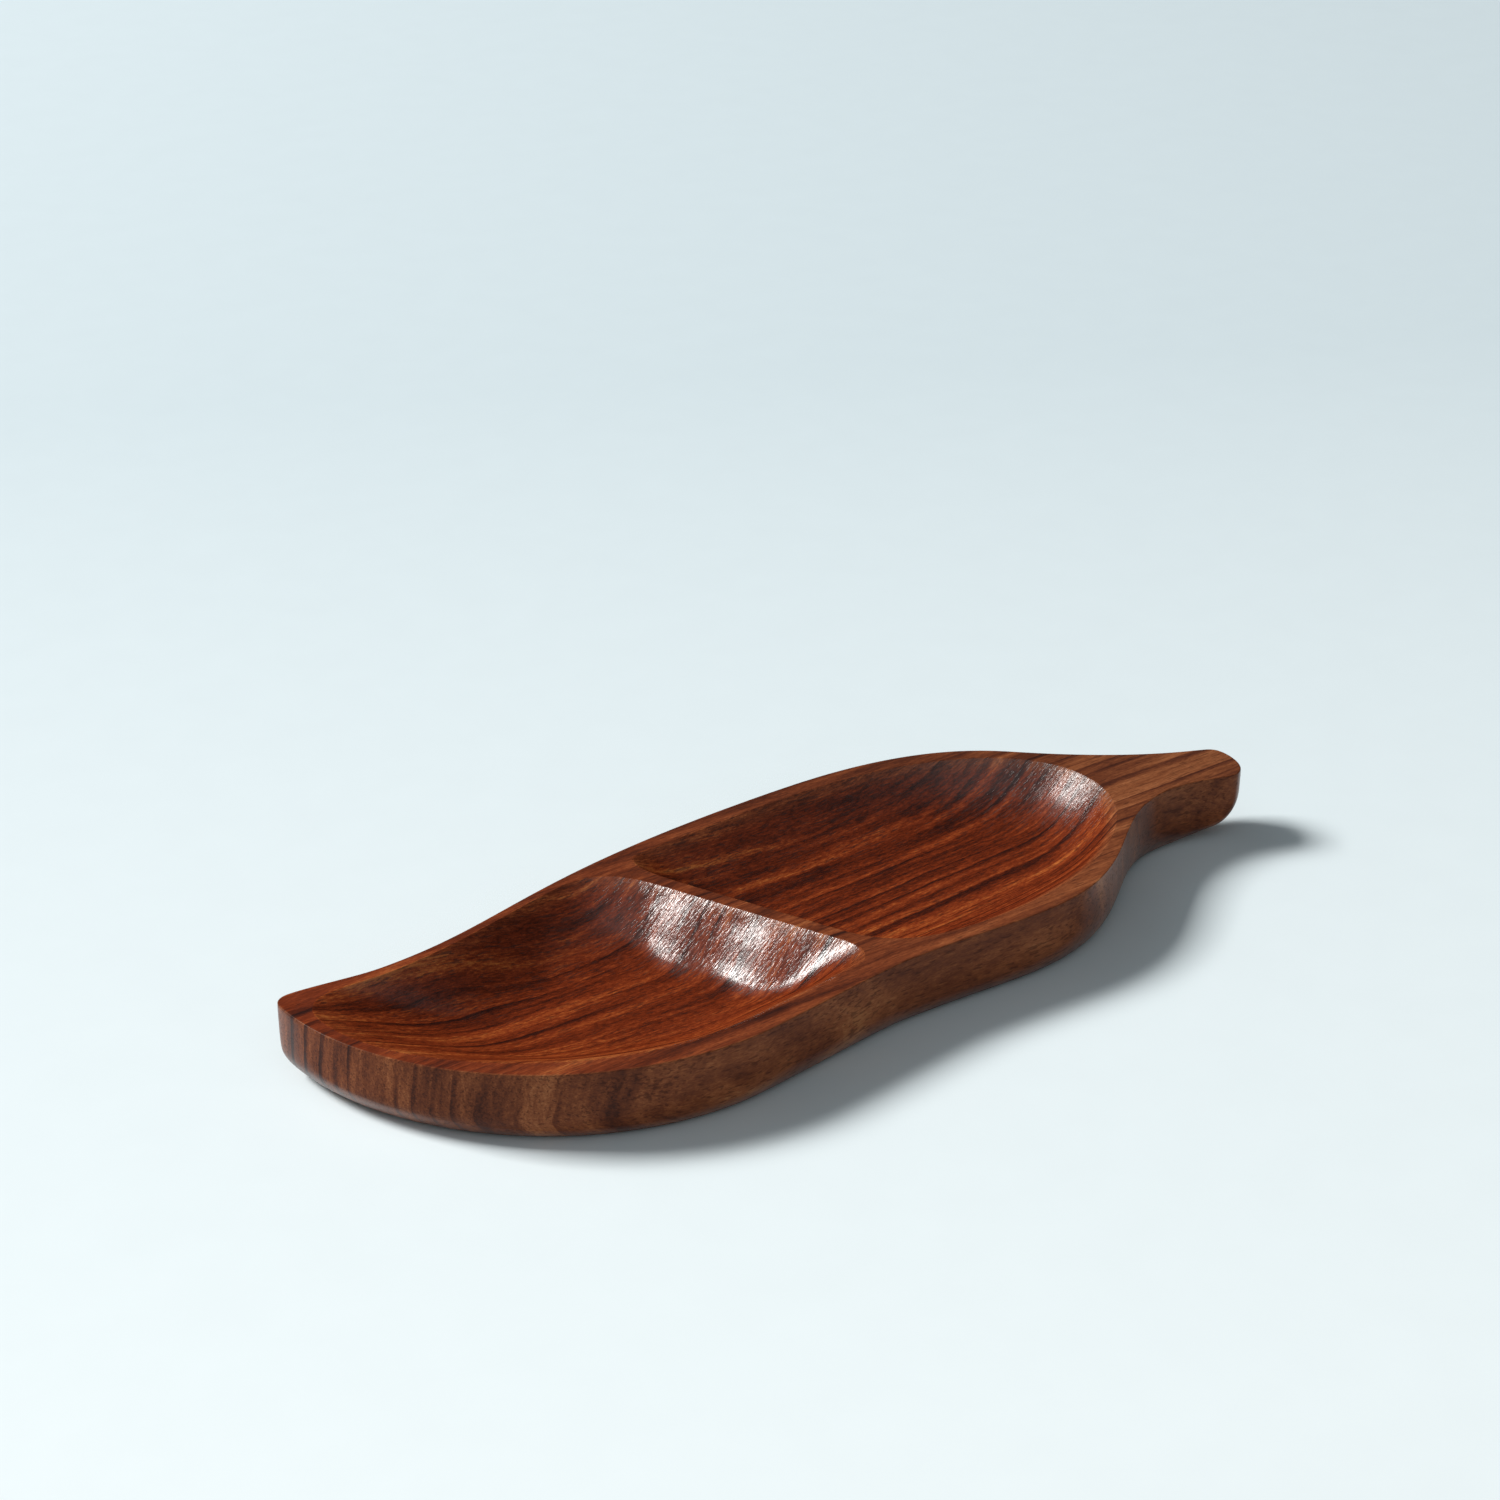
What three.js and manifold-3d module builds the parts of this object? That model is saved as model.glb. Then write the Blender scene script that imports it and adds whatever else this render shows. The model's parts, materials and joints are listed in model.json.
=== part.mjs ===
// Leaf-shaped serving tray for dried fruit, carved from one solid board: two dished hollows, a slanting
// ridge between them, a flat rim all round and a short tapering handle.
// Millimetres, +Z up. The tray rests on z = 0 with its origin under the middle of its length and width,
// its tip towards -X and its handle towards +X.
import * as THREE from "three";
import Module from "manifold-3d";

// Sizes along the tray are measured from the tip, or where their names say so from the root of the handle or
// from the middle of the ridge. Sizes across it are measured from the axis of the leaf. The near side is the
// -Y side, the far side the +Y side.

// Board
const THICKNESS = 25;
const BLADE_LENGTH = 288;
const HANDLE_LENGTH = 42;

// Far edge of the leaf, from the tip to the handle
const TIP_ACROSS = 39.7;
const TIP_RADIUS = 5.5;
const DIP_ALONG = 32.5;
const DIP_ACROSS = 36.6;
const CROWN_BEFORE_ROOT = 91;
const CROWN_ACROSS = 57.5;
const FAR_NECK_BEFORE_ROOT = 17;
const FAR_NECK_ACROSS = 35.7;
const FAR_NECK_HEADING = 139;

// Near edge of the leaf, from the tip to the handle
const BULGE_ALONG = 101;
const BULGE_ACROSS = 57.5;
const WAIST_ALONG = 166;
const WAIST_ACROSS = 50;
const SHOULDER_BEFORE_ROOT = 73;
const SHOULDER_ACROSS = 51.8;
const NEAR_NECK_PAST_ROOT = 12;
const NEAR_NECK_ACROSS = 16;

// End of the handle, which swings a little towards the near side
const HANDLE_WIDTH = 19.4;
const HANDLE_SWING = 11.3;
const HANDLE_FAR_CORNER = 4.5;
const HANDLE_NEAR_CORNER = 8.3;
const HANDLE_CREST = 1.8;
const HANDLE_FAR_HEADING = 159;
const HANDLE_NEAR_HEADING = -8;

// Underside: a flat foot with an elliptical round up to the wall, and a handle that sweeps up off the table
const FOOT_INSET = 6.5;
const FOOT_RISE = 12.5;
const TIP_FOOT_RADIUS = 1;
const TIP_FOOT_SETBACK = 2.5;
const HANDLE_CLEARANCE = 4;
const HANDLE_RISE = 17;
const HANDLE_FOOT_SETBACK = 7;

// Rim, and the ridge that divides the hollows
const TOP_EASE = 0.4;
const TIP_RIM = 6;
const FAR_FRONT_RIM = 3.8;
const FAR_REAR_RIM = 5.8;
const NEAR_FRONT_RIM = 7;
const NEAR_REAR_RIM = 5.4;
const ROOT_RIM = 6;
const RIDGE_ALONG = 144.1;
const RIDGE_LEAN = 65.5;
const RIDGE_WIDTH = 4.4;

// Hollows: how much wood is left under them by the ridge and at their outer ends, the share by which their
// walls start steeper than one straight slope to the floor, and how their edges roll over from the rim
const RIDGE_FLOOR = 7;
const FRONT_TIP_FLOOR = 11;
const REAR_END_FLOOR = 12;
const FRONT_CURL = 0.36;
const REAR_CURL = 0.55;
const CRISP_ROLL = 0.5;
const TIP_ROLL = 1.5;
const CORNER_ROLL = 2.5;
const SOFT_ROLL = 4;

// Corners of the hollows: where each one starts, the rim left there, and the width that it rounds off
const FRONT_TIP_ROUND = 11;
const FRONT_NEAR_CORNER_PAST_RIDGE = 4.9;
const FRONT_NEAR_CORNER_RIM = 7.3;
const FRONT_NEAR_ROUND = 13.5;
const FRONT_FAR_CORNER_BEFORE_RIDGE = 39.5;
const FRONT_FAR_CORNER_RIM = 3.3;
const FRONT_FAR_ROUND = 16;
const REAR_FAR_CORNER_BEFORE_RIDGE = 10.1;
const REAR_FAR_CORNER_RIM = 4.7;
const REAR_FAR_ROUND = 21.8;
const REAR_NEAR_ROUND = 22.5;

// Widest places of the hollows, and the rear end of the rear one
const FRONT_BELLY_BEFORE_BULGE = 3.5;
const REAR_BELLY_BEFORE_ROOT = 84.4;
const REAR_END_ACROSS = 4;

// Middle line of each hollow's floor, and the share of the way out to the edge that is flat
const FRONT_SPINE_START = [78, 5];
const FRONT_SPINE_BEFORE_RIDGE = 36.1;
const FRONT_SPINE_END_ACROSS = -6;
const REAR_SPINE_PAST_RIDGE = 35.9;
const REAR_SPINE_START_ACROSS = 3;
const REAR_SPINE_BEFORE_ROOT = 45;
const REAR_SPINE_END_ACROSS = 4;
const FLAT_SHARE = 0.26;

// Facets
const EDGE_STEP = 6;
const MIN_STEPS = 5;
const FOOT_RINGS = 6;
const EASE_RINGS = 2;
const ROLL_RINGS = 2;
const SLOPE_RINGS = 3;
const COVE_RINGS = 6;

const LENGTH = BLADE_LENGTH + HANDLE_LENGTH;
const CROWN_ALONG = BLADE_LENGTH - CROWN_BEFORE_ROOT;
const SHOULDER_ALONG = BLADE_LENGTH - SHOULDER_BEFORE_ROOT;
const { degToRad, lerp, smoothstep } = THREE.MathUtils;

const wasm = await Module();
wasm.setup();

// A station is a place on an edge: where it is, which way the edge runs there (degrees anticlockwise from
// +X), and how far it pulls the edge before and after it straight, as a share of the gap to its neighbour.
function station(along, across, heading, before, after, extras = {}) {
  const turn = degToRad(heading);
  return {
    at: new THREE.Vector2(along, across),
    direction: new THREE.Vector2(Math.cos(turn), Math.sin(turn)),
    before,
    after,
    roll: CRISP_ROLL,
    footInset: FOOT_INSET,
    footSetback: new THREE.Vector2(),
    clearance: 0,
    rise: FOOT_RISE,
    ...extras,
  };
}

// Gives each stretch of a closed edge its number of facets.
function stepped(stations) {
  return stations.map((from, i) => {
    const to = stations[(i + 1) % stations.length];
    const steps = Math.max(MIN_STEPS, Math.round(from.at.distanceTo(to.at) / EDGE_STEP));
    return { ...from, steps };
  });
}

// The same closed edge with its stations moved inwards, each by its own distance.
function movedIn(stations, distanceOf) {
  return stations.map((s) => {
    const inward = new THREE.Vector2(-s.direction.y, s.direction.x);
    return { ...s, at: s.at.clone().addScaledVector(inward, distanceOf(s)) };
  });
}

// Edge of the flat foot that the tray rests on.
function footStations(stations) {
  const inset = movedIn(stations, (s) => s.footInset);
  return inset.map((s) => ({ ...s, at: s.at.clone().add(s.footSetback) }));
}

// Points of a closed anticlockwise edge: one cubic curve from each station to the next.
function edgePoints(stations) {
  return stations.flatMap((from, i) => {
    const to = stations[(i + 1) % stations.length];
    const gap = from.at.distanceTo(to.at);
    const leaving = from.at.clone().addScaledVector(from.direction, gap * from.after);
    const arriving = to.at.clone().addScaledVector(to.direction, -gap * to.before);
    const curve = new THREE.CubicBezierCurve(from.at, leaving, arriving, to.at);
    return Array.from({ length: from.steps }, (_, k) => {
      const t = k / from.steps;
      const blend = smoothstep(t, 0, 1);
      return {
        at: curve.getPoint(t),
        roll: lerp(from.roll, to.roll, blend),
        clearance: lerp(from.clearance, to.clearance, blend),
        rise: lerp(from.rise, to.rise, blend),
      };
    });
  });
}

// Collects rings of points and joins them into one closed skin.
class Skin {
  positions = [];
  triangles = [];

  ring(points) {
    const first = this.positions.length / 3;
    points.forEach((p) => this.positions.push(p.x, p.y, p.z));
    return points.map((_, i) => first + i);
  }

  band(from, to) {
    from.forEach((a, i) => {
      const j = (i + 1) % from.length;
      this.triangles.push(a, from[j], to[j], a, to[j], to[i]);
    });
  }

  bands(rings) {
    rings.slice(1).forEach((ring, i) => this.band(rings[i], ring));
  }

  // Fills the downward strip between two chains that run the same way and meet in their last point.
  strip(right, left) {
    let i = 0;
    let j = 0;
    while (i + j < right.length + left.length - 3) {
      const rightFirst = (i + 1) / right.length <= (j + 1) / left.length;
      this.triangles.push(right[i], left[j], rightFirst ? right[i + 1] : left[j + 1]);
      i += rightFirst ? 1 : 0;
      j += rightFirst ? 0 : 1;
    }
  }

  // Fills a flat ring, leaving out the rings inside it. Facing is 1 for upwards, -1 for downwards.
  cap(ring, holes, facing) {
    const loops = [ring, ...holes.map((hole) => hole.toReversed())];
    const corners = loops.flat();
    const flat = (loop) => loop.map((i) => [this.positions[3 * i], this.positions[3 * i + 1]]);
    wasm.triangulate(loops.map(flat)).forEach(([a, b, c]) => {
      const order = facing > 0 ? [a, b, c] : [a, c, b];
      this.triangles.push(...order.map((k) => corners[k]));
    });
  }

  geometry() {
    const result = new THREE.BufferGeometry();
    result.setAttribute("position", new THREE.Float32BufferAttribute(this.positions, 3));
    result.setIndex(this.triangles);
    result.computeVertexNormals();
    return result;
  }
}

// Outer edge of the leaf, anticlockwise from the tip along the near side to the handle and back.
function leafStations() {
  const handleNear = -HANDLE_SWING - HANDLE_WIDTH / 2;
  const handleFar = -HANDLE_SWING + HANDLE_WIDTH / 2;
  const raised = {
    footSetback: new THREE.Vector2(-HANDLE_FOOT_SETBACK, 0),
    clearance: HANDLE_CLEARANCE,
    rise: HANDLE_RISE,
  };
  const tip = {
    footInset: TIP_RADIUS - TIP_FOOT_RADIUS,
    footSetback: new THREE.Vector2(TIP_FOOT_SETBACK, -TIP_FOOT_SETBACK),
  };
  return stepped([
    station(0, TIP_ACROSS - TIP_RADIUS, -88, 0.45, 0.35, tip),
    station(BULGE_ALONG, -BULGE_ACROSS, 0, 0.4, 0.18),
    station(WAIST_ALONG, -WAIST_ACROSS, 0, 0.18, 0.45),
    station(SHOULDER_ALONG, -SHOULDER_ACROSS, 0, 0.27, 0.5),
    station(BLADE_LENGTH + NEAR_NECK_PAST_ROOT, -NEAR_NECK_ACROSS, 0, 0.35, 0.45),
    station(LENGTH - HANDLE_NEAR_CORNER, handleNear, HANDLE_NEAR_HEADING, 0.23, 0.37, raised),
    station(LENGTH, HANDLE_CREST - HANDLE_SWING, 90, 0.42, 0.5, raised),
    station(LENGTH - HANDLE_FAR_CORNER, handleFar, HANDLE_FAR_HEADING, 0.4, 0.45, raised),
    station(BLADE_LENGTH - FAR_NECK_BEFORE_ROOT, FAR_NECK_ACROSS, FAR_NECK_HEADING, 0.08, 0.16),
    station(CROWN_ALONG, CROWN_ACROSS, 180, 0.6, 0.63),
    station(DIP_ALONG, DIP_ACROSS, 180, 0.29, 0.2),
    station(TIP_RADIUS, TIP_ACROSS, 180, 0.23, 0.45, tip),
  ]);
}

// Place along the tray of one side of the ridge: side is -1 for the front hollow, 1 for the rear one.
function ridgeAlong(across, side) {
  const lean = degToRad(RIDGE_LEAN);
  return RIDGE_ALONG - across / Math.tan(lean) + (side * RIDGE_WIDTH) / 2 / Math.sin(lean);
}

// Place across the tray of the edge of the leaf: side is -1 for the near edge, which runs towards the handle,
// and 1 for the far edge, which runs back to the tip.
function edgeAcross(along, side) {
  const edge = edgePoints(leafStations()).map(({ at }) => at);
  const next = edge.findIndex((p, i) => {
    const [low, high] = side < 0 ? [edge.at(i - 1).x, p.x] : [p.x, edge.at(i - 1).x];
    return low <= along && along < high;
  });
  const [from, to] = [edge.at(next - 1), edge[next]];
  return lerp(from.y, to.y, (along - from.x) / (to.x - from.x));
}

// Edge of the front hollow, anticlockwise from the tip.
function frontStations() {
  const bellyAlong = BULGE_ALONG - FRONT_BELLY_BEFORE_BULGE;
  const nearAlong = RIDGE_ALONG + FRONT_NEAR_CORNER_PAST_RIDGE;
  const farAlong = RIDGE_ALONG - FRONT_FAR_CORNER_BEFORE_RIDGE;
  const belly = edgeAcross(bellyAlong, -1) + NEAR_FRONT_RIM;
  const nearCorner = edgeAcross(nearAlong, -1) + FRONT_NEAR_CORNER_RIM;
  const farCorner = edgeAcross(farAlong, 1) - FRONT_FAR_CORNER_RIM;
  const ridgeNear = nearCorner + FRONT_NEAR_ROUND;
  const ridgeFar = farCorner - FRONT_FAR_ROUND;
  const eased = { roll: TIP_ROLL };
  const soft = { roll: SOFT_ROLL };
  return stepped([
    station(TIP_RIM, TIP_ACROSS - TIP_RIM - FRONT_TIP_ROUND, -88, 0.4, 0.31, eased),
    station(bellyAlong, belly, 0, 0.35, 0.3, soft),
    station(nearAlong, nearCorner, 8, 0.3, 0.5, soft),
    station(ridgeAlong(ridgeNear, -1), ridgeNear, 180 - RIDGE_LEAN, 0.45, 0.3),
    station(ridgeAlong(ridgeFar, -1), ridgeFar, 180 - RIDGE_LEAN, 0.3, 0.44),
    station(farAlong, farCorner, 190, 0.36, 0.3),
    station(DIP_ALONG, DIP_ACROSS - FAR_FRONT_RIM, 180, 0.3, 0.3),
    station(TIP_RIM + FRONT_TIP_ROUND, TIP_ACROSS - TIP_RIM, 182, 0.35, 0.45, soft),
  ]);
}

// Edge of the rear hollow, anticlockwise from the far end of the ridge.
function rearStations() {
  const bellyAlong = BLADE_LENGTH - REAR_BELLY_BEFORE_ROOT;
  const farAlong = RIDGE_ALONG - REAR_FAR_CORNER_BEFORE_RIDGE;
  const belly = edgeAcross(bellyAlong, -1) + NEAR_REAR_RIM;
  const farCorner = edgeAcross(farAlong, 1) - REAR_FAR_CORNER_RIM;
  const ridgeFar = farCorner - REAR_FAR_ROUND;
  const ridgeNear = belly + REAR_NEAR_ROUND;
  const soft = { roll: CORNER_ROLL };
  return stepped([
    station(ridgeAlong(ridgeFar, 1), ridgeFar, -RIDGE_LEAN, 0.4, 0.3),
    station(ridgeAlong(ridgeNear, 1), ridgeNear, -RIDGE_LEAN, 0.3, 0.35),
    station(bellyAlong, belly, 0, 0.55, 0.45),
    station(BLADE_LENGTH - ROOT_RIM, REAR_END_ACROSS, 90, 0.3, 0.3),
    station(CROWN_ALONG, CROWN_ACROSS - FAR_REAR_RIM, 180, 0.5, 0.4),
    station(farAlong, farCorner, 183, 0.3, 0.42, soft),
  ]);
}

// Rings of one hollow, from its edge at the top of the rim down to its flat floor. Each wall rolls over the
// edge, falls along a straight slope, and runs out level on the floor in a round cove.
function hollowRings(stations, spineEnds, floorUnder, curl) {
  const spine = new THREE.Line3(...spineEnds.map(([along, across]) => new THREE.Vector3(along, across, 0)));
  const walls = edgePoints(stations).map(({ at, roll }) => {
    const edge = new THREE.Vector3(at.x, at.y, 0);
    const foot = spine.closestPointToPoint(edge, true, new THREE.Vector3()).lerp(edge, FLAT_SHARE);
    const run = edge.distanceTo(foot);
    const depth = THICKNESS - floorUnder(foot.x);
    const steepest = (1 + curl) * Math.atan2(depth, run);
    const radii = (run * Math.tan(steepest) - depth) / (1 / Math.cos(steepest) - 1);
    return { edge, foot, run, depth, steepest, roll: Math.min(roll, radii / 2), radii };
  });
  const place = (wall, out, fallen) => {
    const p = wall.edge.clone().lerp(wall.foot, out / wall.run);
    p.z = THICKNESS - (fallen / wall.depth) * (THICKNESS - floorUnder(p.x));
    return p;
  };
  const rolled = (wall, share) => {
    const slope = wall.steepest * share;
    return place(wall, wall.roll * Math.sin(slope), wall.roll * (1 - Math.cos(slope)));
  };
  const coved = (wall, share) => {
    const slope = wall.steepest * (1 - share);
    const cove = wall.radii - wall.roll;
    return place(wall, wall.run - cove * Math.sin(slope), wall.depth - cove * (1 - Math.cos(slope)));
  };
  const rings = [];
  for (let k = 0; k <= ROLL_RINGS; k += 1) rings.push(walls.map((wall) => rolled(wall, k / ROLL_RINGS)));
  for (let k = 1; k < SLOPE_RINGS; k += 1) {
    rings.push(walls.map((wall) => rolled(wall, 1).lerp(coved(wall, 0), k / SLOPE_RINGS)));
  }
  for (let k = 0; k <= COVE_RINGS; k += 1) rings.push(walls.map((wall) => coved(wall, k / COVE_RINGS)));
  return rings;
}

// Rings of the outside, from the foot up over the elliptical round and the wall to the eased top edge.
function outsideRings(stations) {
  const wall = edgePoints(stations);
  const foot = edgePoints(footStations(stations));
  const top = edgePoints(movedIn(stations, () => TOP_EASE));
  const rings = [];
  for (let k = 0; k <= FOOT_RINGS; k += 1) {
    const turn = (k / FOOT_RINGS) * (Math.PI / 2);
    rings.push(wall.map(({ at, clearance, rise }, i) => {
      const p = foot[i].at.clone().lerp(at, Math.sin(turn));
      return new THREE.Vector3(p.x, p.y, lerp(clearance, rise, 1 - Math.cos(turn)));
    }));
  }
  for (let k = 0; k <= EASE_RINGS; k += 1) {
    const turn = (k / EASE_RINGS) * (Math.PI / 2);
    rings.push(wall.map(({ at }, i) => {
      const p = at.clone().lerp(top[i].at, 1 - Math.cos(turn));
      return new THREE.Vector3(p.x, p.y, THICKNESS - TOP_EASE * (1 - Math.sin(turn)));
    }));
  }
  return rings;
}

function trayGeometry() {
  const skin = new Skin();
  const laid = (rings) => rings.map((points) => skin.ring(points));

  const frontSpine = [FRONT_SPINE_START, [RIDGE_ALONG - FRONT_SPINE_BEFORE_RIDGE, FRONT_SPINE_END_ACROSS]];
  const rearSpine = [
    [RIDGE_ALONG + REAR_SPINE_PAST_RIDGE, REAR_SPINE_START_ACROSS],
    [BLADE_LENGTH - REAR_SPINE_BEFORE_ROOT, REAR_SPINE_END_ACROSS],
  ];
  const floorFrom = (end, endFloor) => (along) =>
    lerp(RIDGE_FLOOR, endFloor, (along - RIDGE_ALONG) / (end - RIDGE_ALONG));
  const frontFloor = floorFrom(TIP_RIM, FRONT_TIP_FLOOR);
  const rearFloor = floorFrom(BLADE_LENGTH - ROOT_RIM, REAR_END_FLOOR);
  const leaf = leafStations();
  const outside = laid(outsideRings(leaf));
  const front = laid(hollowRings(frontStations(), frontSpine, frontFloor, FRONT_CURL));
  const rear = laid(hollowRings(rearStations(), rearSpine, rearFloor, REAR_CURL));

  // The underside of the handle leaves the flat foot along a line across the neck.
  const raised = edgePoints(leaf).map(({ clearance }) => clearance > 0);
  const flatFoot = outside[0].filter((_, i) => !raised[i]);
  const underHandle = outside[0].slice(raised.indexOf(true) - 1, raised.lastIndexOf(true) + 2);
  const along = underHandle.map((v) => skin.positions[3 * v]);
  const handleEnd = along.indexOf(Math.max(...along));
  skin.cap(flatFoot, [], -1);
  skin.strip(underHandle.slice(0, handleEnd + 1), underHandle.slice(handleEnd).reverse());
  skin.bands(outside);
  skin.cap(outside.at(-1), [front[0], rear[0]], 1);
  [front, rear].forEach((hollow) => {
    skin.bands(hollow);
    skin.cap(hollow.at(-1), [], 1);
  });

  const geometry = skin.geometry();
  geometry.computeBoundingBox();
  const middle = geometry.boundingBox.getCenter(new THREE.Vector3());
  return geometry.translate(-middle.x, -middle.y, 0);
}

const walnut = new THREE.MeshStandardMaterial({ color: 0x7a4024, roughness: 0.42, metalness: 0 });
const leafTray = new THREE.Mesh(trayGeometry(), walnut);
leafTray.name = "leaf_tray";

const tray = new THREE.Group();
tray.name = "dried_fruit_tray";
tray.add(leafTray);

export default tray;
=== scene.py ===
# %% [markdown]
# A leaf-shaped tray for dried fruit, carved from one board of oiled, reddish hardwood.
# The CAD frame already holds its true shape: a flat rim, two dished hollows parted by a
# slanting ridge, and a short handle. This lesson dresses that one solid: a finer skin, the
# marks that a carver's hand leaves in the hollows, and wood whose growth rings run right
# through the board, so that every cut through it shows the same grain.

# %% The frame
import json
import math

import bmesh
import bpy
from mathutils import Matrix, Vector, geometry, noise


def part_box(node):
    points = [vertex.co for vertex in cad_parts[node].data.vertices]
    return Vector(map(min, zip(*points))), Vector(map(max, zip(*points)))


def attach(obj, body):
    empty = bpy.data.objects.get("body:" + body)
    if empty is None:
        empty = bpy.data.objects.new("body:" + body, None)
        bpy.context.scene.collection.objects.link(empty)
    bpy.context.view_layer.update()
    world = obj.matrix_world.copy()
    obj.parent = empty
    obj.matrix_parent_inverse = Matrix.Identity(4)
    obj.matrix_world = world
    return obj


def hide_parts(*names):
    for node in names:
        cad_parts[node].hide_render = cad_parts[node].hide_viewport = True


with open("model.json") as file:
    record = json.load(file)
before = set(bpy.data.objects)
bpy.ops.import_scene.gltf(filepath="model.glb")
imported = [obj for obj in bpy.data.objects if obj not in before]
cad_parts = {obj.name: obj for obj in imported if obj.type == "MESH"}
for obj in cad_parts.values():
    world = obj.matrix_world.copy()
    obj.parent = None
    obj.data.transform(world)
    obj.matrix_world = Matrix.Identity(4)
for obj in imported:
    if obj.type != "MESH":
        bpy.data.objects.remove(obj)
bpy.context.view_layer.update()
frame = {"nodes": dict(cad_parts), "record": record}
MM = 0.001
board_low, board_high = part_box("leaf_tray")
BOARD_TOP = board_high.z
print("board, mm:", [round(side / MM, 1) for side in board_high - board_low])

# %% [markdown]
# The camera comes first, because everything is judged through it. The photograph was taken
# with a long lens, from in front of the tip's side and 28 degrees above the table. Its place
# could be found by dragging it about by eye; here it is worked out from three plain values:
# the bearing it looks along, how steeply it looks down, and where it stands.

# %% Camera
LOOKING_ALONG = math.radians(35.327)
LOOKING_DOWN = math.radians(28.0)
CAMERA_AT = Vector((-505.63, -681.19, 524.275)) * MM
LENS_MM = 76.8
SENSOR_MM = 36.0
SEES_AS_FAR_AS = 50.0


def make_camera():
    data = bpy.data.cameras.new("photo_camera")
    data.lens = LENS_MM
    data.sensor_width = SENSOR_MM
    data.clip_end = SEES_AS_FAR_AS
    camera = bpy.data.objects.new("photo_camera", data)
    camera.location = CAMERA_AT
    camera.rotation_euler = (math.pi / 2 - LOOKING_DOWN, 0.0, -LOOKING_ALONG)
    bpy.context.scene.collection.objects.link(camera)
    bpy.context.scene.camera = camera
    return camera


camera = make_camera()
print("camera at", [round(value, 3) for value in camera.location], "m")

# %% [markdown]
# Shader trees are long to write out node by node, so a few helpers keep them readable.
# Each adds a node or two and returns the socket that comes out. Anything that goes in may
# be a plain number, a colour or another node's socket.

# %% Helpers for node trees


def plug(tree, socket, value):
    """Links a socket to another socket, or sets it to a plain value."""
    if isinstance(value, bpy.types.NodeSocket):
        tree.links.new(value, socket)
    else:
        socket.default_value = value


def add_node(tree, kind, options=None, **inputs):
    """Adds a node, sets its options and plugs its inputs, named with _ for each space."""
    made = tree.nodes.new(kind)
    for name, value in (options or {}).items():
        setattr(made, name, value)
    for name, value in inputs.items():
        plug(tree, made.inputs[name.replace("_", " ")], value)
    return made


def calculate(tree, operation, *values):
    """One step of arithmetic on one, two or three values."""
    made = add_node(tree, "ShaderNodeMath", {"operation": operation})
    for socket, value in zip(made.inputs, values):
        plug(tree, socket, value)
    return made.outputs["Value"]


def swing(tree, value, middle, amount, base):
    """The base, pushed up and down as the value leaves its middle."""
    away = calculate(tree, "SUBTRACT", value, middle)
    return calculate(tree, "MULTIPLY_ADD", away, amount, base)


def remap(tree, value, low, high, to_low=0.0, to_high=1.0, smooth=False):
    """Stretches low..high to to_low..to_high, and holds the ends."""
    style = "SMOOTHSTEP" if smooth else "LINEAR"
    made = add_node(tree, "ShaderNodeMapRange", {"interpolation_type": style})
    for name, setting in zip(("Value", "From Min", "From Max", "To Min", "To Max"),
                             (value, low, high, to_low, to_high)):
        plug(tree, made.inputs[name], setting)
    return made.outputs["Result"]


def blend_colours(tree, factor, first, second, style="MIX"):
    """Two colours laid over each other in the given share."""
    made = add_node(tree, "ShaderNodeMix", {"data_type": "RGBA", "blend_type": style})
    for index, value in ((0, factor), (6, first), (7, second)):
        plug(tree, made.inputs[index], value)
    return made.outputs[2]


def noise_field(tree, at, detail=2.0, roughness=0.5):
    """Cloudy noise from 0 to 1, one cloud for each unit of the coordinates that it reads."""
    made = add_node(tree, "ShaderNodeTexNoise", {"noise_dimensions": "3D"},
                    Vector=at, Scale=1.0, Detail=detail, Roughness=roughness)
    return made.outputs["Fac"]


def stretched(tree, at, sizes):
    """The coordinates in clouds of these sizes, so that a pattern can be long and thin."""
    made = add_node(tree, "ShaderNodeVectorMath", {"operation": "DIVIDE"})
    plug(tree, made.inputs[0], at)
    plug(tree, made.inputs[1], sizes)
    return made.outputs["Vector"]


def ramp(tree, value, stops, style="LINEAR"):
    """A colour ramp from pairs of place and colour."""
    made = add_node(tree, "ShaderNodeValToRGB", Fac=value)
    colours = made.color_ramp
    colours.interpolation = style
    while len(colours.elements) < len(stops):
        colours.elements.new(1.0)
    for element, (place, colour) in zip(colours.elements, stops):
        element.position = place
        element.color = (*colour, 1.0)
    return made.outputs["Color"]


def new_material(name):
    """An empty material with a Principled BSDF, and the tree to build in."""
    made = bpy.data.materials.new(name)
    made.use_nodes = True
    return made, made.node_tree, made.node_tree.nodes["Principled BSDF"]


print("node helpers ready")

# %% [markdown]
# The floor is a plain pale table, with painted shade that dims it a little towards the back. A
# plane much larger than the view keeps its edge out of sight, and a very slight mottle keeps it
# from looking like empty paper.

# %% Floor
FLOOR_SIZE = 12.0
FLOOR_IN_FRONT = (0.790, 0.862, 0.890, 1.0)
FLOOR_BEHIND_SHADED = (0.600, 0.690, 0.735, 1.0)
FLOOR_SHADE_SPAN = (-0.25, 0.55)
FLOOR_SLANT = 0.5
FLOOR_MOTTLE = (0.97, 0.97, 0.97, 1.0)
FLOOR_MOTTLE_SIZE = 0.02
FLOOR_ROUGHNESS = 0.8
FLOOR_SHINE = 0.1


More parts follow.
